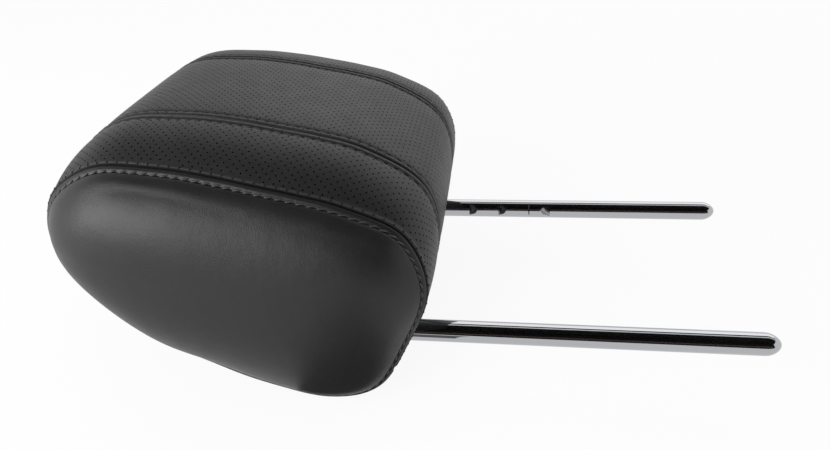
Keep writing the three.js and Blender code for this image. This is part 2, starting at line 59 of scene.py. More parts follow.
# The side seam seen from the side: from the top end over the front to the lower end and along the back.
# Each row is x, z, how far the middle stands proud of the seam there, and the seam's distance from it.
OUTLINE = (
    (-179.2, 68.6, 1.0, 82.0),
    (-177.0, 101.0, 5.0, 79.5),
    (-150.8, 121.3, 9.0, 78.5),
    (-117.6, 123.6, 11.0, 79.0),
    (-90.6, 121.4, 12.0, 80.0),
    (-71.6, 118.8, 12.0, 81.0),
    (-52.6, 115.6, 12.5, 81.0),
    (-30.6, 110.6, 12.0, 81.0),
    (-3.6, 98.6, 7.5, 82.0),
    (7.8, 70.2, 2.0, 85.5),
    (-1.4, 39.5, 2.5, 91.0),
    (-16.0, 13.0, 5.5, 96.5),
    (-41.3, 6.5, 8.5, 100.0),
    (-71.6, 13.0, 15.0, 100.5),
    (-99.6, 19.5, 19.0, 97.0),
    (-139.0, 30.0, 11.0, 89.5),
)
OUTLINE_STEPS = 24  # places on the seam from one row to the next
OUTLINE_PASSES = 14  # how often those places are evened out
CROWN_POWER = 5.7  # how late the crown falls away towards the side seam
SIDE_CENTRE = (-69.2, 75.9)  # the middle of a side panel, in x and z
SIDE_LEVEL = 107.0  # distance of the panel's middle from the centre plane
SIDE_LEAN = 0.45  # how much further the panel stands out where its seam is wide
MEAN_HALF_WIDTH = 87.0  # the seam's distance from the centre plane where that makes no difference
SIDE_ROUNDING = 66.0  # width of the panel's rounded border
SIDE_ROUNDING_POWER = 3.5  # how steeply that border rises at the seam
TOP_TIGHTENING = 14.0  # how much narrower that border is under the front cover
SEAM_BLEND = 12.0  # how far in from its seam the panel keeps to the seam's own width
REAR_SEAM_HEIGHT = 45.0  # height of the seam at the top end, where the back cover starts
BODY_MIDDLE = np.array((-85.0, 0.0, 65.0))
SETTLING = 0.5  # how softly the back flattens on what it lies on

# The course of the rod, from where the posts leave the cushion
POST_EXIT = Vector((-2.615, 0.0, 23.2))
POST_RISE = math.radians(3.8)
LEG_INSIDE = 48.0  # straight length of each leg inside the cushion
LEAN = math.radians(20)  # how far the hidden part leans towards the front of the headrest
LEAN_LENGTH = 90.0  # length of the leaning part, up to the middle of the crossbar
LEAN_REACH = 12.0  # how far the bend reaches along either side of it
CORNER_RADIUS = 26.0
NOSE_LENGTH = 8.0  # length of the rounded end of a post
NOSE_RADIUS = 1.8  # radius of the flat at its tip
ROD_SIDES = 96
NOSE_STEPS = 16
BEND_STEPS = 6
CORNER_STEPS = 10

# The marks in the right post: two notches, and from where a third would start, a thin line and a ramp.
# They are turned from the inner side of the post towards the front of the headrest.
NOTCH_TURN = math.radians(17)
NOTCH_LENGTH = 5.2
LINE_START = 0.5
LINE_LENGTH = 0.8
RAMP_START = 8.2
RAMP_LENGTH = 6.8
NOTCH_STEPS = 14

# The grids of the leather: lines beside the side seam, beside the end seams, and on the side panels
RIM_LINES = (0.3, 0.5, 0.75, 1.0, 1.25, 1.5, 1.75, 2.0, 2.4)
END_LINES = np.array((0.0, 0.8, 1.8, 3.0))
BACK_END_LINES = np.array((0, 0.8, 1.6, 2.6, 4.0))
BACK_RIM_LINES = np.array((0, 0.4, 0.75, 1.1, 1.45, 1.75, 2.1, 2.6, 3.5, 5.0, 7.0))
BACK_COLUMNS = 79
BACK_ROWS = 61
PANEL_LINES = np.array((0, 0.4, 0.8, 1.2, 1.6, 1.9, 2.2, 2.5, 2.8, 3.1, 3.5, 4.2, 5.3, 7.0, 9.0))
PANEL_COLUMNS = 300
PANEL_ROWS = 52
PANEL_STRETCH = 1.53  # length over the panel's steep border for each millimetre towards its middle

# What is sewn and punched
WHOLE_CELL = 0.99  # share of its full area from which a cell of the leather counts as whole
HOLE_DEPTH = 0.9
PINHOLE_LINE = 1.9  # distance of the dark beads on the front cover from the side seam, painted shade of needle holes
PINHOLE_SIZE = 0.62  # radius of the dark bead that paints the shade of a needle hole
STITCH_SHARE = 0.86  # how much of a stitch's pitch its thread fills
STITCH_SLANT = math.radians(20)
SEWING_START = 4.0  # how far from the front cover's start its rows of stitches begin
SEWING_END = 3.0  # and how far from its end they stop
POST_CLEARANCE = 0.2  # between a post and the hole that it passes through


def linear(code):
    """An sRGB hex colour as linear red, green, blue and alpha."""
    channels = [int(code[i:i + 2], 16) / 255 for i in (0, 2, 4)]
    straight = [c / 12.92 if c <= 0.04045 else ((c + 0.055) / 1.055) ** 2.4 for c in channels]
    return (*straight, 1.0)


def in_millimetres(settings):
    """The values of a group of settings, with its lengths in millimetres."""
    values = SimpleNamespace()
    for name in type(settings).__annotations__:
        value = getattr(settings, name)
        is_length = settings.bl_rna.properties[name].unit == "LENGTH"
        setattr(values, name, value / MM if is_length else value)
    return values


def add_node(tree, kind, links=None, inputs=None, **settings):
    """Adds a node with its settings, its input values and its incoming links."""
    made = tree.nodes.new(kind)
    for name, value in settings.items():
        setattr(made, name, value)
    for name, value in (inputs or {}).items():
        made.inputs[name].default_value = value
    for name, source in (links or {}).items():
        tree.links.new(source, made.inputs[name])
    return made


def new_material(name, **values):
    """A material with one principled surface, whose sockets take the values given."""
    made = bpy.data.materials.new(name)
    made.use_nodes = True
    tree = made.node_tree
    surface = tree.nodes["Principled BSDF"]
    for socket, value in values.items():
        surface.inputs[socket.replace("_", " ")].default_value = value
    return made, tree, surface


# Shapes of the cushion


def closed_line(knots, steps, passes):
    """A smooth closed line through rows of values, evened out by a few averaging passes."""
    here = np.array(knots)
    before, ahead, beyond = np.roll(here, 1, 0), np.roll(here, -1, 0), np.roll(here, -2, 0)
    t = (np.arange(steps) / steps)[:, None, None]
    line = 0.5 * (
        2 * here
        + (ahead - before) * t
        + (2 * before - 5 * here + 4 * ahead - beyond) * t ** 2
        + (3 * here - before - 3 * ahead + beyond) * t ** 3
    )
    line = line.transpose(1, 0, 2).reshape(-1, here.shape[1])
    for _ in range(passes):
        line = (np.roll(line, 1, 0) + 2 * line + np.roll(line, -1, 0)) / 4
    return line


class SideSeam:
    """The closed side seam, read by the distance along it from the top end."""

    def __init__(self):
        line = closed_line(OUTLINE, OUTLINE_STEPS, OUTLINE_PASSES)
        ahead = np.roll(line, -1, 0) - line
        lengths = np.hypot(ahead[:, 0], ahead[:, 1])
        self.length = lengths.sum()
        self.places = np.concatenate(([0.0], np.cumsum(lengths)[:-1]))
        tangent = np.roll(line, -1, 0) - np.roll(line, 1, 0)
        tangent /= np.hypot(tangent[:, 0], tangent[:, 1])[:, None]
        crown, half = line[:, 2], line[:, 3]
        spread = (crown * CROWN_POWER) ** 2 / (half * (4 * CROWN_POWER - 2))
        self.columns = {
            "x": line[:, 0],
            "z": line[:, 1],
            "out_x": -tangent[:, 1],
            "out_z": tangent[:, 0],
            "crown": crown,
            "half": half,
            "spread": spread,
            "width": half + spread,
            "reach": np.hypot(line[:, 0] - SIDE_CENTRE[0], line[:, 1] - SIDE_CENTRE[1]),
        }

    def at(self, along):
        """Every value of the seam at these distances along it."""
        values = {
            name: np.interp(along, self.places, column, period=self.length)
            for name, column in self.columns.items()
        }
        return SimpleNamespace(**values)


SEAM = SideSeam()


def soft_floor(points):
    """Lets the back settle flat on the surface that it lies on, and leaves what is well above it."""
    height = points[..., 2]
    settled = SETTLING * np.logaddexp(0, height / SETTLING)
    points[..., 2] = np.where(height > 8, height, settled)
    return points


def band_skin(along, across):
    """The skin between the side seams. across is measured over the leather, from the middle."""
    rim = SEAM.at(along)
    wanted = np.abs(across)
    power = 2 * CROWN_POWER - 1
    share = wanted / rim.width
    for _ in range(4):
        excess = rim.half * share + rim.spread * share ** power - wanted
        share = share - excess / (rim.half + rim.spread * power * share ** (power - 1))
    rise = rim.crown * (1 - share ** CROWN_POWER)
    y = np.sign(across) * share * rim.half
    return np.stack((rim.x + rim.out_x * rise, y, rim.z + rim.out_z * rise), -1)


def panel_shape(x, z):
    """How wide the side seam is and how far away, weighed over the whole seam, at places on a panel."""
    line = SEAM.columns
    # The last term keeps the distance above nought on the seam itself
    near = np.hypot(line["x"] - x[..., None], line["z"] - z[..., None]) + 0.6
    share = near ** -3.0
    width = (share * line["half"]).sum(-1) / share.sum(-1)
    steps = SEAM.length / len(line["x"])
    away = (steps * (near ** -4.0).sum(-1) / (math.pi / 2)) ** (-1 / 3)
    return width, away


def side_skin(along, inward, side):
    """The skin of a side panel. inward is measured from the side seam towards the panel's middle."""
    rim = SEAM.at(along)
    share = np.clip(inward / rim.reach, -1, 1)
    x = rim.x + (SIDE_CENTRE[0] - rim.x) * share
    z = rim.z + (SIDE_CENTRE[1] - rim.z) * share
    width, away = panel_shape(x, z)
    blend = np.clip(inward / SEAM_BLEND, 0, 1)
    blend = blend * blend * (3 - 2 * blend)
    flat = rim.half * (1 - blend) + width * blend
    distance = inward * (1 - blend) + away * blend
    depth = SIDE_ROUNDING - TOP_TIGHTENING * np.clip(rim.out_z, 0, 1) * (1 - share)
    rounding = np.clip(distance / depth, -1, 1)
    level = SIDE_LEVEL + SIDE_LEAN * (flat - MEAN_HALF_WIDTH)
    y = flat + (level - flat) * (1 - (1 - rounding) ** SIDE_ROUNDING_POWER)
    return np.stack((x, side * y, z), -1)


def panel_skin(side):
    """The skin of the side panel on one side, as a function."""
    return lambda along, inward: side_skin(along, inward, side)


def unit(vectors):
    """The same vectors at length one."""
    return vectors / np.maximum(np.linalg.norm(vectors, axis=-1, keepdims=True), 1e-9)


def skin_normal(skin, along, over):
    """The outward direction of a skin."""
    step = 0.2
    first = skin(along + step, over) - skin(along - step, over)
    second = skin(along, over + step) - skin(along, over - step)
    normal = unit(np.cross(first, second))
    outward = np.sign(np.sum(normal * (skin(along, over) - BODY_MIDDLE), -1, keepdims=True))
    return normal * outward


def seam_normal(along, side):
    """The outward direction that the two leathers share in the side seam."""
    width = SEAM.at(along).width
    band = skin_normal(band_skin, along, side * (width - 0.3))
    panel = skin_normal(panel_skin(side), along, np.full_like(along, 0.3))
    return unit(band + panel)


def hill(distance, centre, spread):
    """A soft hill of height one across a seam."""
    return np.exp(-((distance - centre) / spread) ** 2)


def swell(distance, reach):
    """How far the padding has risen at a distance from a seam, from none to one."""
    return 1 - np.exp(-distance / reach)


def inner_relief(distance, cushion):
    """The leather beside an inner seam: the fold, a padded ridge and the groove of the stitch row."""
    beyond = np.maximum(distance - cushion.stitch_offset, 0)
    return (
        -cushion.fold_depth * hill(distance, centre=0, spread=0.5)
        + cushion.ridge_height * hill(distance, centre=2.0, spread=1.3)
        - cushion.groove_depth * hill(distance, centre=cushion.stitch_offset, spread=0.45)
        + cushion.puff * swell(beyond, reach=6)
    )


def rolled_edge(distance, cushion):
    """The side seam's profile: the fold, a thin ridge on the front cover and a roll on the side panel."""
    return (
        -cushion.fold_depth * 0.9 * hill(distance, centre=0.75, spread=0.42)
        + cushion.ridge_height * 1.3 * hill(distance, centre=1.75, spread=0.55)
        + cushion.ridge_height * 0.7 * hill(distance, centre=-0.7, spread=1.1)
    )


def rim_relief(distance, cushion):
    """The front cover beside the side seam, which rolls into the fold without a stitch row."""
    return rolled_edge(distance, cushion) + cushion.puff * swell(distance, reach=8)


def panel_relief(distance, cushion):
    """The side panel beside the side seam: the rolled edge and the groove of the stitch row."""
    beyond = np.maximum(distance - cushion.panel_stitch_offset, 0)
    return (
        rolled_edge(-distance, cushion)
        - cushion.groove_depth * hill(distance, centre=cushion.panel_stitch_offset + 0.2, spread=0.6)
        + cushion.puff * (swell(beyond, reach=8) - 0.5)
    )


def end_relief(distance, cushion):
    """How the leather sinks into the plain closed seams at the ends of the front cover."""
    return -cushion.fold_depth * 0.5 * hill(distance, centre=0, spread=1.2)


def join_seam_normals(normal, along, side, distance):
    """Turns the skin's direction near the side seam into the one that both leathers share."""
    share = np.clip(1 - distance / 5, 0, 1)[..., None]
    return unit(normal * (1 - share) + seam_normal(along, side) * share)


def front_ends():
    """Where the front cover starts and ends along the side seam: at the top end's rear, and at the posts."""
    rod = in_millimetres(bpy.context.scene.headrest_rod)
    along = np.linspace(-0.25, 0.75, 2000) * SEAM.length
    rim = SEAM.at(along)
    rear = (along < 0) & (rim.z < REAR_SEAM_HEIGHT)
    start = along[rear].max()
    exits = band_skin(along, np.full_like(along, rod.post_spacing / 2))
    post_height = POST_EXIT.z + (exits[:, 0] - POST_EXIT.x) * math.tan(POST_RISE)
    below = (exits[:, 0] > -40) & (along > 0) & (exits[:, 2] < post_height)
    return start, along[below].min()


# Meshes


def cut_across(bm, value, drop=False):
    """Cuts a flat mesh along a line across its width, and drops what lies beyond it where asked."""
    bmesh.ops.bisect_plane(
        bm,
        geom=bm.verts[:] + bm.edges[:] + bm.faces[:],
        dist=1e-4,
        plane_co=(0, value, 0),
        plane_no=(0, 1, 0),
        clear_outer=drop,
    )


def coordinates(bm):
    """The places of all vertices, as rows."""
    return np.array([vertex.co for vertex in bm.verts])


def move_all(bm, places):
    """Moves every vertex to its new place."""
    for vertex, place in zip(bm.verts, places):
        vertex.co = place


def flat_uv(bm):
    """Keeps the flat leather's own measures as the UV map, in metres."""
    layer = bm.loops.layers.uv.new("UVMap")
    for face in bm.faces:
        for loop in face.loops:
            loop[layer].uv = loop.vert.co.xy * MM


def thicken(bm, thickness):
    """Gives the leather its thickness, inwards, and returns the faces of the inner side."""
    bm.normal_update()
    outer = set(bm.faces)
    bmesh.ops.solidify(bm, geom=bm.verts[:] + bm.edges[:] + bm.faces[:], thickness=thickness)
    bm.normal_update()
    return [face for face in bm.faces if face not in outer]


def mark_sharp(bm, angle):
    """Marks the edges that fold more than an angle, and shades the rest smooth."""
    for face in bm.faces:
        face.smooth = True
    for edge in bm.edges:
        if len(edge.link_faces) == 2 and edge.calc_face_angle(0) > angle:
            edge.smooth = False


def new_object(name, bm):
    """Puts a mesh into the scene as an object."""
    mesh = bpy.data.meshes.new(name)
    bm.to_mesh(mesh)
    bm.free()
    made = bpy.data.objects.new(name, mesh)
    bpy.context.scene.collection.objects.link(made)
    return made


def finish_piece(bm, name, materials, nodes=()):
    """Turns a mesh in millimetres into a finished piece that rides on the body."""
    bmesh.ops.scale(bm, verts=bm.verts, vec=(MM, MM, MM))
    piece = new_object(name, bm)
    for material in materials:
        piece.data.materials.append(material)
    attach(piece, BODY)
    if nodes:
        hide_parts(*nodes)
    return piece


def table_grid(columns, rows):
    """A flat mesh with its lines at the given places along and across."""
    bm = bmesh.new()
    bmesh.ops.create_grid(bm, x_segments=len(columns) - 1, y_segments=len(rows) - 1, size=1)
    flat = coordinates(bm)
    column = np.rint((flat[:, 0] + 1) / 2 * (len(columns) - 1)).astype(int)
    row = np.rint((flat[:, 1] + 1) / 2 * (len(rows) - 1)).astype(int)
    move_all(bm, np.stack((columns[column], rows[row], np.zeros(len(flat))), -1))
    return bm


def leather_columns(start, end, width):
    """Lines along the leather: close together at its closed ends, and one hole's width in between."""
    near = END_LINES
    count = round((end - start - 2 * near[-1]) / width)
    middle = np.linspace(start + near[-1], end - near[-1], count + 1)[1:-1]
    return np.concatenate((start + near, middle, (end - near)[::-1]))


def seam_rows(height, stitch_offset):
    """Lines across the leather beside an inner seam, as far as the first whole row of holes."""
    groove = np.array((stitch_offset - 0.5, stitch_offset, stitch_offset + 0.5))
    return np.concatenate(((0, 0.3, 0.65, height / 2, height, height * 1.5), groove, (height * 2.5,)))


def mark_holes(bm, columns, seam, height, cushion, side):
    """Marks every second cell of the leather for a hole, and on a ridge merges two half cells for one."""
    first = columns[len(END_LINES) - 1]
    width = columns[len(END_LINES)] - first
    for face in bm.faces:
        place = face.calc_center_median()
        column = round((place.x - first) / width - 0.5)
        from_seam = (place.y - seam) / height if side else (place.y + seam) / height
        whole = face.calc_area() > WHOLE_CELL * width * height
        ridge = min(abs(from_seam - 1), abs(cushion.hole_rows - 1 - from_seam)) < 0.3
        inside = 0 <= column < len(columns) - 2 * len(END_LINES) + 1
        if inside and whole and (column + round(from_seam)) % 2 == 0:
            face.material_index = 1
        if inside and ridge and column % 2 == 1:
            face.material_index = 2
    halves = [
        line for line in bm.edges
        if len(line.link_faces) == 2 and all(face.material_index == 2 for face in line.link_faces)
    ]
    bmesh.ops.dissolve_edges(bm, edges=halves, use_verts=False)
    for face in bm.faces:
        face.material_index = min(face.material_index, 1)


def front_band_mesh(side, cushion):
    """The outer face of one front band, still flat: 0 is the centre band, -1 and 1 the outer ones."""
    start, end = front_ends()
    seam = cushion.inner_seam
    height = 2 * seam / cushion.hole_rows
    near = seam_rows(height, cushion.stitch_offset)
    columns = leather_columns(start, end, cushion.hole_spacing / 2)
    width = columns[len(END_LINES)] - columns[len(END_LINES) - 1]
    if side == 0:
        middle = np.arange(3.5, cushion.hole_rows - 3, 1) * height
        rows = np.concatenate((near, middle, (2 * seam - near)[::-1])) - seam
    else:
        outermost = (SEAM.columns["width"].max() - seam) / height + 1
        rows = np.concatenate((near, np.arange(3.5, outermost, 1) * height)) + seam
    bm = table_grid(columns, rows)
    mark_holes(bm, columns, seam, height, cushion, side)
    if side:
        shear_to_rim(bm, 1)
        cut_across(bm, 0, drop=True)
        for line in RIM_LINES:
            cut_across(bm, -line)
        shear_to_rim(bm, -1)
    for face in bm.faces:
        if face.material_index and face.calc_area() < WHOLE_CELL * width * height:
            face.material_index = 0
    if side < 0:
        bmesh.ops.scale(bm, verts=bm.verts, vec=(1, -1, 1))
        bmesh.ops.reverse_faces(bm, faces=bm.faces[:])
    return bm


def shear_to_rim(bm, sign):
    """Slides the flat leather so that the side seam becomes straight, and back again."""
    places = coordinates(bm)
    places[:, 1] -= sign * SEAM.at(places[:, 0]).width
    move_all(bm, places)


def lay_band(bm, cushion, inner_seams=(), rims=(), ends=()):
    """Lays a flat piece of the band between the side seams on the cushion, with its seams' relief."""
    flat = coordinates(bm)
    along, across = flat[:, 0], flat[:, 1]
    normal = skin_normal(band_skin, along, across)
    relief = np.full(len(flat), -(len(inner_seams) + len(rims) - 0.5) * cushion.puff)
    for line in inner_seams:
        relief += inner_relief(np.abs(across - line), cushion)
    for edge in rims:
        distance = SEAM.at(along).width - edge * across
        relief += rim_relief(distance, cushion)
        normal = join_seam_normals(normal, along, edge, distance)
    for line in ends:
        relief += end_relief(np.abs(along - line), cushion)
    move_all(bm, soft_floor(band_skin(along, across) + normal * relief[:, None]))


def bore_posts(piece):
    """Cuts the two holes that the posts pass through."""
    rod = in_millimetres(bpy.context.scene.headrest_rod)
    radius = rod.diameter / 2 + POST_CLEARANCE
    for side in (-1, 1):
        bm = bmesh.new()
        bmesh.ops.create_cone(bm, cap_ends=True, segments=48, radius1=radius, radius2=radius, depth=60)
        turn = Matrix.Rotation(math.pi / 2 - POST_RISE, 4, "Y")
        place = Matrix.Translation(POST_EXIT + Vector((0, side * rod.post_spacing / 2, 0)))
        bmesh.ops.transform(bm, verts=bm.verts, matrix=Matrix.Scale(MM, 4) @ place @ turn)
        cutter = new_object("post_hole", bm)
        modifier = piece.modifiers.new("post_hole", "BOOLEAN")
        modifier.operation = "DIFFERENCE"
        modifier.solver = "EXACT"
        modifier.object = cutter
        graph = bpy.context.evaluated_depsgraph_get()
        bored = bpy.data.meshes.new_from_object(piece.evaluated_get(graph))
        piece.modifiers.clear()
        piece.data = bored
        bpy.data.objects.remove(cutter)


def punch_holes(bm, cells, radius, depth):
    """Punches a round hole into the middle of every marked cell of the leather."""
    height = min(edge.calc_length() for edge in cells[0].edges)
    height = max(height, 2 * radius)
    bmesh.ops.inset_individual(bm, faces=cells, thickness=height / 2 - radius * 0.8, depth=0)
    for face in cells:
        wanted = 8 - len(face.verts)
        longest = sorted(face.edges, key=lambda edge: edge.calc_length(), reverse=True)
        for edge in longest[:wanted]:
            bmesh.utils.edge_split(edge, edge.verts[0], 0.5)
        middle = face.calc_center_median()
        for vertex in face.verts:
            vertex.co = middle + (vertex.co - middle).normalized() * radius
    walls = bmesh.ops.inset_individual(bm, faces=cells, thickness=radius * 0.12, depth=-depth)
    # The walls and floor of each hole take the near-black material: painted shade inside the real cavity.
    for face in walls["faces"] + cells:
        face.material_index = 1


def stitch(bm, place, along, normal, length, radius, slant):
    """One sewn stitch: a short thread that dips into the leather at both ends."""
    made = bmesh.ops.create_uvsphere(bm, u_segments=8, v_segments=6, radius=1)
    across = np.cross(normal, along)
    turned = Matrix((along, across, normal)).transposed().to_4x4()
    scale = Matrix.Diagonal((length / 2, radius, radius, 1))
    upright = Matrix.Rotation(math.pi / 2, 4, "Y")
    matrix = Matrix.Translation(place) @ turned @ Matrix.Rotation(slant, 4, "Z") @ scale @ upright
    bmesh.ops.transform(bm, verts=made["verts"], matrix=matrix)


def sew(bm, skin, along, over, lift, length, radius, rim=None, slant=0.0):
    """Sews a row of stitches at distances along the seam, on a line over the skin and lifted off it."""
    step = 0.5
    places = skin(along, over)
    tangents = unit(skin(along + step, over) - skin(along - step, over))
    normals = skin_normal(skin, along, over)
    if rim:
        side, distance = rim
        normals = join_seam_normals(normals, along, side, distance)
    places = places + normals * lift
    for place, tangent, normal in zip(places, tangents, normals):
        level = unit(tangent - normal * np.dot(tangent, normal))
        stitch(bm, place, level, normal, length, radius, slant)


class CushionSettings(bpy.types.PropertyGroup):
    """Sizes and colours of the leather cover."""

    inner_seam: bpy.props.FloatProperty(
        name="Inner seam", description="Distance of each inner seam from the middle",
        default=0.0433, unit="LENGTH",
    )
    hole_spacing: bpy.props.FloatProperty(
        name="Hole spacing", description="Distance along the seams from one hole to the next in its row",
        default=0.00448, unit="LENGTH",
    )
    hole_rows: bpy.props.IntProperty(
        name="Hole rows", description="Rows of holes between the two inner seams, an even number",
        default=42, min=12,
    )
    hole_size: bpy.props.FloatProperty(
        name="Hole diameter", description="Diameter of the holes of the perforation",
        default=0.00092, unit="LENGTH",
    )
    leather: bpy.props.FloatProperty(
        name="Leather", description="Thickness of the leather", default=0.0014, unit="LENGTH",
    )
    thread: bpy.props.FloatProperty(
        name="Thread", description="Thickness of the sewing thread", default=0.0011, unit="LENGTH",
    )
    stitch_length: bpy.props.FloatProperty(
        name="Stitch length", description="Distance from one stitch to the next",
        default=0.0050, unit="LENGTH",
    )
    stitch_offset: bpy.props.FloatProperty(
        name="Stitch offset", description="Distance from an inner seam to the stitch row beside it",
        default=0.0041, unit="LENGTH",
    )
    panel_stitch_offset: bpy.props.FloatProperty(
        name="Panel stitch offset", description="Distance from the side seam to the row on the panel",
        default=0.0026, unit="LENGTH",
    )
    fold_depth: bpy.props.FloatProperty(
        name="Fold depth", description="How deep the leather dips into a seam",
        default=0.0014, unit="LENGTH",
    )
    ridge_height: bpy.props.FloatProperty(
        name="Ridge height", description="How high the folded edge stands up beside a seam",
        default=0.00055, unit="LENGTH",
    )
    groove_depth: bpy.props.FloatProperty(
        name="Groove depth", description="How deep a stitch row is drawn into the leather",
        default=0.00073, unit="LENGTH",
    )
    puff: bpy.props.FloatProperty(
        name="Puff", description="How far the padding swells between the seams",
        default=0.0007, unit="LENGTH",
    )
    leather_colour: bpy.props.FloatVectorProperty(
        name="Leather colour", description="Colour of the leather's finish",
        default=linear("19191b"), size=4, subtype="COLOR", min=0, max=1,
    )
    thread_colour: bpy.props.FloatVectorProperty(
        name="Thread colour", description="Colour of the sewing thread",
        default=linear("333335"), size=4, subtype="COLOR", min=0, max=1,
    )


class RodSettings(bpy.types.PropertyGroup):
    """Sizes and colour of the rod."""

    diameter: bpy.props.FloatProperty(
        name="Diameter", description="Thickness of the rod", default=0.012, unit="LENGTH",
    )
    post_spacing: bpy.props.FloatProperty(
        name="Post spacing", description="Distance between the two posts",
        default=0.125, unit="LENGTH",
    )
    post_length: bpy.props.FloatProperty(
        name="Post length", description="Length of the posts outside the cushion",
        default=0.187, unit="LENGTH",
    )
    first_notch: bpy.props.FloatProperty(
        name="First notch", description="Distance of the first height notch from the cushion",
        default=0.0247, unit="LENGTH",
    )
    notch_pitch: bpy.props.FloatProperty(
        name="Notch pitch", description="Distance from one height notch to the next",
        default=0.020, unit="LENGTH",
    )
    notch_depth: bpy.props.FloatProperty(
        name="Notch depth", description="Depth of the height notches", default=0.0012, unit="LENGTH",
    )
    chrome_colour: bpy.props.FloatVectorProperty(
        name="Chrome colour", description="What the chrome plating reflects head on",
        default=linear("b0b1b4"), size=4, subtype="COLOR", min=0, max=1,
    )


# Sizes of the finishes, in millimetres
CREASE_SPACING = 11
STRAND_WIDTH = 0.4
HAZE_WIDTH = 5


def leather_material(name, colour, roughness, grain):
    """Pigmented and embossed cowhide: matt black, with a fine pebble grain and faint broad creases."""
    made, tree, surface = new_material(
        name, Base_Color=colour, Roughness=roughness, Specular_IOR_Level=0.42,
    )
    place = add_node(tree, "ShaderNodeTexCoord").outputs["Object"]
    pebbles = add_node(
        tree, "ShaderNodeTexVoronoi", {"Vector": place}, {"Scale": 1 / (grain * MM)},
        feature="DISTANCE_TO_EDGE",
    )
    creases = add_node(
        tree, "ShaderNodeTexNoise", {"Vector": place}, {"Scale": 1 / (CREASE_SPACING * MM), "Detail": 5.0},
    )
    fine = add_node(
        tree, "ShaderNodeBump", {"Height": pebbles.outputs["Distance"]},
        {"Strength": 0.8, "Distance": 0.00012},
    )
    broad = add_node(
        tree, "ShaderNodeBump",
        {"Height": creases.outputs["Fac"], "Normal": fine.outputs["Normal"]},
        {"Strength": 0.3, "Distance": 0.0008},
    )
    tree.links.new(broad.outputs["Normal"], surface.inputs["Normal"])
    patches = add_node(
        tree, "ShaderNodeMapRange", {"Value": creases.outputs["Fac"]},
        {"To Min": roughness - 0.06, "To Max": roughness + 0.06},
    )
    tree.links.new(patches.outputs["Result"], surface.inputs["Roughness"])
    return made


def smooth_leather(colour):
    """The leather that the side panels and the back cover share."""
    name = "cowhide_pigmented_smooth"
    return bpy.data.materials.get(name) or leather_material(name, colour, roughness=0.41, grain=0.8)


def hole_shade_material():
    """Near-black and dull, so that it swallows the light: painted shade on the walls and floors of the
    punched holes, whose floors lie inside the leather, and on the beads that stand for needle holes.
    """
    name = "hole_shade_black"
    kept = bpy.data.materials.get(name)
    return kept or new_material(name, Base_Color=linear("0a0a0a"), Roughness=1.0)[0]


def thread_material(colour):
    """Bonded polyester thread, twisted: black, with a slight waxy shine."""
    made, tree, surface = new_material(
        "thread_bonded_polyester_twisted", Base_Color=colour, Roughness=0.4,
    )
    place = add_node(tree, "ShaderNodeTexCoord").outputs["Object"]
    strands = add_node(tree, "ShaderNodeTexNoise", {"Vector": place}, {"Scale": 1 / (STRAND_WIDTH * MM)})
    bump = add_node(
        tree, "ShaderNodeBump", {"Height": strands.outputs["Fac"]},
        {"Strength": 0.5, "Distance": 0.0002},
    )
    tree.links.new(bump.outputs["Normal"], surface.inputs["Normal"])
    return made


def chrome_material(colour):
    """Steel bar, polished and chromed: mirror-like, with the faintest wear."""
    made, tree, surface = new_material(
        "steel_bar_chrome_plated", Base_Color=colour, Metallic=1.0, Roughness=0.05,
    )
    place = add_node(tree, "ShaderNodeTexCoord").outputs["Object"]
    haze = add_node(
        tree, "ShaderNodeTexNoise", {"Vector": place}, {"Scale": 1 / (HAZE_WIDTH * MM), "Detail": 6.0},
    )
    spread = add_node(
        tree, "ShaderNodeMapRange", {"Value": haze.outputs["Fac"]}, {"To Min": 0.03, "To Max": 0.07},
    )
    tree.links.new(spread.outputs["Result"], surface.inputs["Roughness"])
    return made


def inner_material(name, colour, roughness, cell, depth, metallic=0.0):
    """A plain inner material whose surface has cells of one size and depth, in millimetres."""
    made, tree, surface = new_material(
        name, Base_Color=linear(colour), Roughness=roughness, Metallic=metallic,
    )
    place = add_node(tree, "ShaderNodeTexCoord").outputs["Object"]
    cells = add_node(
        tree, "ShaderNodeTexNoise", {"Vector": place}, {"Scale": 1 / (cell * MM), "Detail": 3.0},
    )
    bump = add_node(
        tree, "ShaderNodeBump", {"Height": cells.outputs["Fac"]},
        {"Strength": 0.5, "Distance": depth * MM},
    )
    tree.links.new(bump.outputs["Normal"], surface.inputs["Normal"])
    return made


class HEADREST_OT_add_front(bpy.types.Operator):
    """Adds the three perforated bands of the front cover"""

    bl_idname = "headrest.add_front"
    bl_label = "Front cover"

    def execute(self, context):
        """Builds the bands one by one, and punches their holes once the posts' holes are bored."""
        cushion = in_millimetres(context.scene.headrest_cushion)
        leather = leather_material(
            "cowhide_pigmented_perforated", cushion.leather_colour, roughness=0.5, grain=0.9,
        )
        ends = front_ends()
        seam = cushion.inner_seam
        whole_cell = cushion.hole_spacing / 2 * 2 * seam / cushion.hole_rows * MM ** 2
        for side, label in ((-1, "left"), (0, "centre"), (1, "right")):
            bm = front_band_mesh(side, cushion)
            flat_uv(bm)
            seams = (side * seam,) if side else (-seam, seam)
            lay_band(bm, cushion, inner_seams=seams, rims=(side,) if side else (), ends=ends)
            for face in thicken(bm, cushion.leather):
                face.material_index = 0
            piece = finish_piece(
                bm, f"front_cover_{label}", (leather, hole_shade_material()),
                (f"cover_front_{label}",),
            )
            if side:
                bore_posts(piece)
            bm = bmesh.new()
            bm.from_mesh(piece.data)
            cells = [
                face for face in bm.faces
                if face.material_index and len(face.verts) in (4, 6) and face.calc_area() > 0.85 * whole_cell
            ]
            for face in bm.faces:
                face.material_index = 0
            punch_holes(bm, cells, cushion.hole_size / 2 * MM, HOLE_DEPTH * MM)
            mark_sharp(bm, math.radians(50))
            bm.to_mesh(piece.data)
            bm.free()
        return {"FINISHED"}


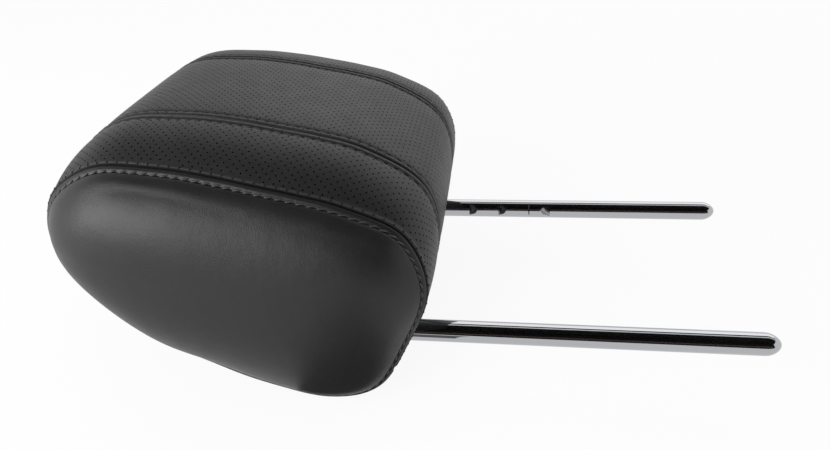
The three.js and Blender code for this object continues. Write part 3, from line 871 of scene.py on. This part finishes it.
class HEADREST_OT_add_sides(bpy.types.Operator):
    """Adds the two smooth side panels"""

    bl_idname = "headrest.add_sides"
    bl_label = "Side panels"

    def execute(self, context):
        """Builds both panels from the seam to their middle."""
        cushion = in_millimetres(context.scene.headrest_cushion)
        leather = smooth_leather(cushion.leather_colour)
        last = len(PANEL_LINES) - 1
        for side, label in ((-1, "left"), (1, "right")):
            bm = table_grid(np.linspace(0, SEAM.length, PANEL_COLUMNS + 1), np.arange(PANEL_ROWS + 1.0))
            flat = coordinates(bm)
            along, row = flat[:, 0], flat[:, 1].astype(int)
            near = PANEL_LINES[np.minimum(row, last)] / PANEL_STRETCH
            far = np.clip((row - last) / (PANEL_ROWS - last), 0, 1)
            inward = near + (SEAM.at(along).reach - near) * far
            distance = inward * PANEL_STRETCH
            skin = panel_skin(side)
            normal = skin_normal(skin, along, inward)
            normal[row == PANEL_ROWS] = (0, side, 0)
            normal = join_seam_normals(normal, along, side, distance)
            relief = panel_relief(distance, cushion)
            relief[row == PANEL_ROWS] = cushion.puff / 2
            move_all(bm, np.stack((along, distance, np.zeros_like(along)), -1))
            flat_uv(bm)
            move_all(bm, skin(along, inward) + normal * relief[:, None])
            # Closes the panel where the grid's two ends meet, and at its middle
            bmesh.ops.remove_doubles(bm, verts=bm.verts[:], dist=0.15)
            if side < 0:
                bmesh.ops.reverse_faces(bm, faces=bm.faces[:])
            thicken(bm, cushion.leather)
            mark_sharp(bm, math.radians(60))
            finish_piece(
                bm, f"side_cover_{label}", (leather,),
                (f"cover_side_{label}",),
            )
        return {"FINISHED"}


class HEADREST_OT_add_back(bpy.types.Operator):
    """Adds the smooth back cover"""

    bl_idname = "headrest.add_back"
    bl_label = "Back cover"

    def execute(self, context):
        """Builds the back between the end seams and the side seams."""
        cushion = in_millimetres(context.scene.headrest_cushion)
        start, end = front_ends()
        last = start + SEAM.length
        near = BACK_END_LINES
        middle = np.linspace(end + near[-1], last - near[-1], BACK_COLUMNS + 1)[1:-1]
        columns = np.concatenate((end + near, middle, (last - near)[::-1]))
        rims = BACK_RIM_LINES
        middle = np.linspace(-1, 1, BACK_ROWS + 1)[1:-1]
        share = np.concatenate((-np.ones_like(rims), middle, np.ones_like(rims)))
        inset = np.concatenate((rims, np.full_like(middle, rims[-1]), rims[::-1]))
        bm = table_grid(columns, np.arange(float(len(share))))
        flat = coordinates(bm)
        along, row = flat[:, 0], flat[:, 1].astype(int)
        across = share[row] * (SEAM.at(along).width - inset[row])
        move_all(bm, np.stack((along, across, np.zeros_like(along)), -1))
        flat_uv(bm)
        lay_band(bm, cushion, rims=(-1, 1), ends=(end, last))
        thicken(bm, cushion.leather)
        mark_sharp(bm, math.radians(60))
        leather = smooth_leather(cushion.leather_colour)
        piece = finish_piece(bm, "back_cover", (leather,), ("cover_back",))
        bore_posts(piece)
        return {"FINISHED"}


class HEADREST_OT_add_stitching(bpy.types.Operator):
    """Adds the stitch rows along the seams, and dark beads on the front cover at the side seams, painted
    shade of needle holes
    """

    bl_idname = "headrest.add_stitching"
    bl_label = "Stitching"

    def execute(self, context):
        """Sews each seam's rows as one piece, and each row of dark beads painted as needle-hole shade as
        another.
        """
        cushion = in_millimetres(context.scene.headrest_cushion)
        thread = thread_material(cushion.thread_colour)
        pitch = cushion.stitch_length
        length = pitch * STITCH_SHARE
        radius = cushion.thread / 2
        start, end = front_ends()
        front = np.arange(start + SEWING_START, end - SEWING_END, pitch)
        count = round(SEAM.length / pitch)
        around = np.arange(count) * SEAM.length / count
        offset = cushion.stitch_offset
        inner_lift = inner_relief(offset, cushion) - cushion.puff / 2 + radius * 0.7
        panel_offset = cushion.panel_stitch_offset
        panel_lift = panel_relief(panel_offset, cushion) + radius * 0.7
        hole_lift = rim_relief(PINHOLE_LINE, cushion) - cushion.puff / 2 - PINHOLE_SIZE * 0.55
        for side, label in ((-1, "left"), (1, "right")):
            bm = bmesh.new()
            for line in (side * cushion.inner_seam - offset, side * cushion.inner_seam + offset):
                sew(bm, band_skin, front, np.full_like(front, line), inner_lift, length, radius)
            mark_sharp(bm, math.radians(80))
            finish_piece(bm, f"stitching_inner_{label}", (thread,))

            bm = bmesh.new()
            inward = np.full_like(around, panel_offset / PANEL_STRETCH)
            rim = (side, panel_offset)
            slant = -side * STITCH_SLANT
            sew(bm, panel_skin(side), around, inward, panel_lift, length, radius, rim, slant)
            mark_sharp(bm, math.radians(80))
            finish_piece(bm, f"stitching_side_{label}", (thread,))

            # Dark beads beside the side seam paint the shade of needle holes. The leather has no holes
            # there.
            bm = bmesh.new()
            over = side * (SEAM.at(front).width - PINHOLE_LINE)
            rim = (side, PINHOLE_LINE)
            sew(bm, band_skin, front, over, hole_lift, PINHOLE_SIZE * 2, PINHOLE_SIZE, rim)
            finish_piece(bm, f"needle_hole_shade_side_{label}", (hole_shade_material(),))
        return {"FINISHED"}


def notches(rod):
    """Where the marks of the right post start and end, and at which of the two each is deepest."""
    first = rod.first_notch
    second = first + rod.notch_pitch
    line = second + rod.notch_pitch + LINE_START
    ramp = second + rod.notch_pitch + RAMP_START
    return (
        (first, first + NOTCH_LENGTH, first),
        (second, second + NOTCH_LENGTH, second),
        (line, line + LINE_LENGTH, line + LINE_LENGTH),
        (ramp, ramp + RAMP_LENGTH, ramp + RAMP_LENGTH),
    )


def rod_stations(rod):
    """The rod's centre line from one tip to the other, as places, directions and thicknesses."""
    half = rod.post_spacing / 2
    radius = rod.diameter / 2
    straight = Vector((-1, 0, 0))
    stations = []

    def add(place, direction=straight, thickness=radius):
        stations.append((Vector(place), direction.normalized(), thickness))

    for step in range(NOSE_STEPS + 1):
        share = 1 - (step / NOSE_STEPS) ** 1.4
        thickness = NOSE_RADIUS + (radius - NOSE_RADIUS) * (1 - share ** 2.2) ** 0.8
        add((rod.post_length - NOSE_LENGTH * (1 - share), half, 0), straight, thickness)

    # A plain stretch needs few sections, and a notch has one just before and after each of its ends.
    places = {0, 110, 140, 165}
    for low, high, wall in notches(rod):
        places |= {low, high, low - 0.03, high + 0.03}
        places |= set(np.linspace(low, high, NOTCH_STEPS + 1)[1:-1])
    for place in sorted(places, reverse=True):
        add((place, half, 0))

    lean = Vector((-math.cos(LEAN), 0, math.sin(LEAN)))
    bend = Vector((-LEG_INSIDE, half, 0))
    before = bend - straight * LEAN_REACH
    after = bend + lean * LEAN_REACH
    for step in range(BEND_STEPS + 1):
        share = step / BEND_STEPS
        place = before.lerp(bend, share).lerp(bend.lerp(after, share), share)
        add(place, straight.lerp(lean, share))
    corner = bend + lean * (LEAN_LENGTH - CORNER_RADIUS)
    for step in range(CORNER_STEPS + 1):
        turn = math.pi / 2 * step / CORNER_STEPS
        forward = lean * CORNER_RADIUS * math.sin(turn)
        inward = Vector((0, -CORNER_RADIUS * (1 - math.cos(turn)), 0))
        add(corner + forward + inward, lean * math.cos(turn) + Vector((0, -math.sin(turn), 0)))
    other = [
        (Vector((p.x, -p.y, p.z)), Vector((-d.x, d.y, -d.z)), t) for p, d, t in reversed(stations)
    ]
    return stations + other


def press_marks(bm, rod):
    """Presses the notches into the right post, while it still lies along x."""
    axis = Vector((0, rod.post_spacing / 2, 0))
    inner_side = Vector((0, -math.cos(NOTCH_TURN), math.sin(NOTCH_TURN)))
    outside = [vertex for vertex in bm.verts if vertex.co.x >= 0 and vertex.co.y >= 0]
    for vertex in outside:
        for low, high, wall in notches(rod):
            if low - 0.01 <= vertex.co.x <= high + 0.01:
                share = abs(vertex.co.x - wall) / (high - low)
                level = rod.diameter / 2 - rod.notch_depth * (1 - share ** 2)
                excess = (vertex.co - axis).dot(inner_side) - level
                if excess > 0:
                    vertex.co -= inner_side * excess


def ring_matrix(place, direction, thickness):
    """Where a round section of the rod stands. It keeps one side up, so that the rod doesn't twist."""
    up = Vector((math.sin(LEAN / 2), 0, math.cos(LEAN / 2)))
    sideways = direction.cross(up).normalized()
    true_up = sideways.cross(direction)
    turned = Matrix((sideways, true_up, -direction)).transposed().to_4x4()
    return Matrix.Translation(place) @ turned @ Matrix.Diagonal((thickness, thickness, 1, 1))


class HEADREST_OT_add_rod(bpy.types.Operator):
    """Adds the bent and chromed rod with its height notches"""

    bl_idname = "headrest.add_rod"
    bl_label = "Rod"

    def execute(self, context):
        """Draws a round section along the rod's course and presses the notches in."""
        rod = in_millimetres(context.scene.headrest_rod)
        stations = rod_stations(rod)
        bm = bmesh.new()
        ring = bmesh.ops.create_circle(bm, segments=ROD_SIDES, radius=1)["verts"]
        before = ring_matrix(*stations[0])
        bmesh.ops.transform(bm, verts=ring, matrix=before)
        edges = bm.edges[:]
        bmesh.ops.contextual_create(bm, geom=edges)
        for station in stations[1:]:
            grown = bmesh.ops.extrude_edge_only(bm, edges=edges)["geom"]
            ring = [item for item in grown if isinstance(item, bmesh.types.BMVert)]
            edges = [item for item in grown if isinstance(item, bmesh.types.BMEdge)]
            after = ring_matrix(*station)
            bmesh.ops.transform(bm, verts=ring, matrix=after @ before.inverted())
            before = after
        bmesh.ops.contextual_create(bm, geom=edges)
        press_marks(bm, rod)
        bmesh.ops.recalc_face_normals(bm, faces=bm.faces[:])
        mark_sharp(bm, math.radians(11))
        turn = Matrix.Rotation(-POST_RISE, 4, "Y")
        bmesh.ops.transform(bm, verts=bm.verts, matrix=Matrix.Translation(POST_EXIT) @ turn)
        finish_piece(bm, "rod", (chrome_material(rod.chrome_colour),), ("post_rod",))
        return {"FINISHED"}


class HEADREST_OT_finish_inside(bpy.types.Operator):
    """Gives the foam, the insert and the other inner pieces their materials"""

    bl_idname = "headrest.finish_inside"
    bl_label = "Inner pieces"

    def execute(self, context):
        """Assigns one material to each kind of inner piece."""
        # Foam is yellowish and dull, with open cells. Woven tape is dark and rough.
        foam = inner_material("polyurethane_foam_moulded", "d0c8ae", roughness=0.95, cell=1.2, depth=0.4)
        tape = inner_material("polyester_tape_woven", "1c1c1d", roughness=0.9, cell=0.6, depth=0.15)
        # Moulded plastic has a satin skin with a faint grain. Zinc is a soft bright grey.
        plastic = inner_material(
            "polypropylene_black_moulded", "202122", roughness=0.55, cell=0.8, depth=0.05,
        )
        screw = inner_material(
            "steel_zinc_plated_rolled", "bfc1bd", roughness=0.35, cell=1.5, depth=0.02, metallic=1.0,
        )
        kinds = {"foam": foam, "seam": tape, "closure": plastic, "post": plastic}
        for name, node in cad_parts.items():
            kind = kinds.get(name.split("_")[0], plastic)
            if name.startswith("insert_screw"):
                kind = screw
            if not node.hide_render:
                node.data.materials.clear()
                node.data.materials.append(kind)
        return {"FINISHED"}


CAMERA_PLACE = (0.0303, -0.3042, 0.2572)
CAMERA_TURN = (math.radians(55.89), 0, math.radians(7.38))
FLOOR_WHITE = 0.91  # how much of the floor's look is plain white. The rest shows the shadow.


class StageSettings(bpy.types.PropertyGroup):
    """The camera and the light."""

    lens: bpy.props.FloatProperty(
        name="Lens", description="Focal length on a 36 mm wide sensor", default=26.46,
    )
    back_light: bpy.props.FloatProperty(
        name="Back light", description="Brightness of the large soft light behind and above",
        default=0.73,
    )
    side_light: bpy.props.FloatProperty(
        name="Side light", description="Brightness of the soft light at the front left", default=5.8,
    )
    ambient: bpy.props.FloatProperty(
        name="Ambient light", description="Strength of the even light from all round", default=0.6,
    )


def add_softbox(name, place, size, brightness):
    """A rectangular soft light that faces the headrest, whose brightness doesn't change with its size."""
    data = bpy.data.lights.new(name, "AREA")
    data.shape = "RECTANGLE"
    data.size, data.size_y = size
    data.energy = brightness * math.pi * size[0] * size[1]
    light = bpy.data.objects.new(name, data)
    light.location = place
    light.rotation_euler = Vector(place).to_track_quat("Z", "Y").to_euler()
    bpy.context.scene.collection.objects.link(light)


def add_card(name, place, size, turn, material):
    """A flat card of the stage."""
    bm = bmesh.new()
    bmesh.ops.create_grid(bm, x_segments=1, y_segments=1, size=0.5)
    bmesh.ops.scale(bm, verts=bm.verts, vec=(*size, 1))
    bmesh.ops.rotate(bm, verts=bm.verts, matrix=Matrix.Rotation(turn, 3, "X"))
    bmesh.ops.translate(bm, verts=bm.verts, vec=place)
    card = new_object(name, bm)
    card.data.materials.append(material)
    return card


def add_flag(name, place, size, turn, material):
    """A dark card that only shows as a dark patch in what shines."""
    flag = add_card(name, place, size, turn, material)
    flag.visible_camera = False
    flag.visible_diffuse = False
    flag.visible_shadow = False
    flag.visible_transmission = False


def seen_directly(tree):
    """One where the background is seen, straight on or in something shiny or clear, and zero elsewhere."""
    path = add_node(tree, "ShaderNodeLightPath")
    direct = add_node(
        tree, "ShaderNodeMath",
        {0: path.outputs["Is Camera Ray"], 1: path.outputs["Is Transmission Ray"]},
        operation="MAXIMUM",
    )
    seen = add_node(
        tree, "ShaderNodeMath", {0: direct.outputs[0], 1: path.outputs["Is Glossy Ray"]},
        operation="MAXIMUM",
    )
    return seen.outputs[0]


def floor_material():
    """White paper sweep: plain white where it is seen, with part of the object's shadow kept."""
    made, tree, surface = new_material(
        "paper_white_uncoated", Base_Color=linear("f2f2f2"), Roughness=1.0, Specular_IOR_Level=0.0,
    )
    white = add_node(tree, "ShaderNodeEmission", None, {"Color": (1, 1, 1, 1), "Strength": 1.0})
    share = add_node(
        tree, "ShaderNodeMath", {0: seen_directly(tree)}, {1: FLOOR_WHITE}, operation="MULTIPLY",
    )
    mixed = add_node(
        tree, "ShaderNodeMixShader",
        {0: share.outputs[0], 1: surface.outputs[0], 2: white.outputs[0]},
    )
    tree.links.new(mixed.outputs[0], tree.nodes["Material Output"].inputs["Surface"])
    return made


class HEADREST_OT_add_stage(bpy.types.Operator):
    """Adds the floor, the lights and the camera"""

    bl_idname = "headrest.add_stage"
    bl_label = "Stage"

    def execute(self, context):
        """Sets a white stage with a soft light behind, one at the front left, flags of dark cloth, and a
        grey card that paints the cushion's shadow on the floor into what shines.
        """
        scene = context.scene
        stage = scene.headrest_stage
        scene.view_settings.view_transform = "Standard"

        camera_data = bpy.data.cameras.new("camera")
        camera_data.sensor_width = 36
        camera_data.lens = stage.lens
        camera_data.clip_start = 0.01
        camera = bpy.data.objects.new("camera", camera_data)
        camera.location = CAMERA_PLACE
        camera.rotation_euler = CAMERA_TURN
        scene.collection.objects.link(camera)
        scene.camera = camera

        add_card("floor", (0, 0, -0.0002), (8, 8), 0, floor_material())
        # Velvet and the grey card are dull, so that each mirrors as one even tone.
        velvet = new_material("velvet_black_flag", Base_Color=linear("080808"), Roughness=1.0)[0]
        floor_shadow_grey = new_material("floor_shadow_grey_card", Base_Color=linear("6c6c6c"), Roughness=1.0)[0]
        brown = new_material("velvet_brown_flag", Base_Color=linear("5a4640"), Roughness=1.0)[0]
        upright = math.radians(90)
        add_flag("flag_front", (0, -1.6, 0.76), (5, 1.5), upright, velvet)
        add_flag("flag_above", (0, -0.65, 1.5), (5, 1.9), 0, velvet)
        add_flag("flag_bar", (0, 0.83, 1.5), (5, 0.42), 0, velvet)
        # A grey card on the floor, seen only in what shines: painted shadow of the cushion on the floor in
        # front of it.
        add_flag("floor_shadow_card", (-0.02, -0.2, 0.0005), (0.08, 0.2), 0, floor_shadow_grey)
        add_flag("flag_strip", (0, -1.55, 0.48), (5, 0.35), upright, brown)
        add_softbox("back_light", (0.5, 1.5, 1.25), (2.8, 1.4), stage.back_light)
        add_softbox("side_light", (-0.7, -0.77, 0.42), (0.86, 0.7), stage.side_light)

        world = bpy.data.worlds.new("studio")
        scene.world = world
        world.use_nodes = True
        tree = world.node_tree
        tree.nodes.clear()
        ambient = add_node(
            tree, "ShaderNodeBackground", None, {"Color": (1, 1, 1, 1), "Strength": stage.ambient},
        )
        white = add_node(tree, "ShaderNodeBackground", None, {"Color": (1, 1, 1, 1), "Strength": 1.0})
        mixed = add_node(
            tree, "ShaderNodeMixShader",
            {0: seen_directly(tree), 1: ambient.outputs[0], 2: white.outputs[0]},
        )
        add_node(tree, "ShaderNodeOutputWorld", {"Surface": mixed.outputs[0]})
        return {"FINISHED"}


# What the panel lists and register takes in

OPERATORS = (
    HEADREST_OT_add_front,
    HEADREST_OT_add_sides,
    HEADREST_OT_add_back,
    HEADREST_OT_add_stitching,
    HEADREST_OT_add_rod,
    HEADREST_OT_finish_inside,
    HEADREST_OT_add_stage,
)


SETTINGS = {
    "headrest_cushion": CushionSettings,
    "headrest_rod": RodSettings,
    "headrest_stage": StageSettings,
}


class HEADREST_PT_panel(bpy.types.Panel):
    """Lists the headrest's pieces and their sizes"""

    bl_idname = "HEADREST_PT_panel"
    bl_label = "Car headrest"
    bl_space_type = "VIEW_3D"
    bl_region_type = "UI"
    bl_category = "Headrest"

    def draw(self, context):
        """Draws one button for each operator and one field for each size."""
        for operator in OPERATORS:
            self.layout.operator(operator.bl_idname)
        for name in SETTINGS:
            settings = getattr(context.scene, name)
            for field in type(settings).__annotations__:
                self.layout.prop(settings, field)


def register():
    """Registers the settings, the operators and the panel."""
    for name, settings in SETTINGS.items():
        bpy.utils.register_class(settings)
        setattr(bpy.types.Scene, name, bpy.props.PointerProperty(type=settings))
    for operator in OPERATORS:
        bpy.utils.register_class(operator)
    bpy.utils.register_class(HEADREST_PT_panel)


def unregister():
    """Takes the panel, the operators and the settings away again."""
    bpy.utils.unregister_class(HEADREST_PT_panel)
    for operator in reversed(OPERATORS):
        bpy.utils.unregister_class(operator)
    for name, settings in SETTINGS.items():
        delattr(bpy.types.Scene, name)
        bpy.utils.unregister_class(settings)


def main():
    """Builds the whole headrest and its stage."""
    register()
    bpy.ops.headrest.add_front()
    bpy.ops.headrest.add_sides()
    bpy.ops.headrest.add_back()
    bpy.ops.headrest.add_stitching()
    bpy.ops.headrest.add_rod()
    bpy.ops.headrest.finish_inside()
    bpy.ops.headrest.add_stage()


if __name__ == "__main__":
    main()
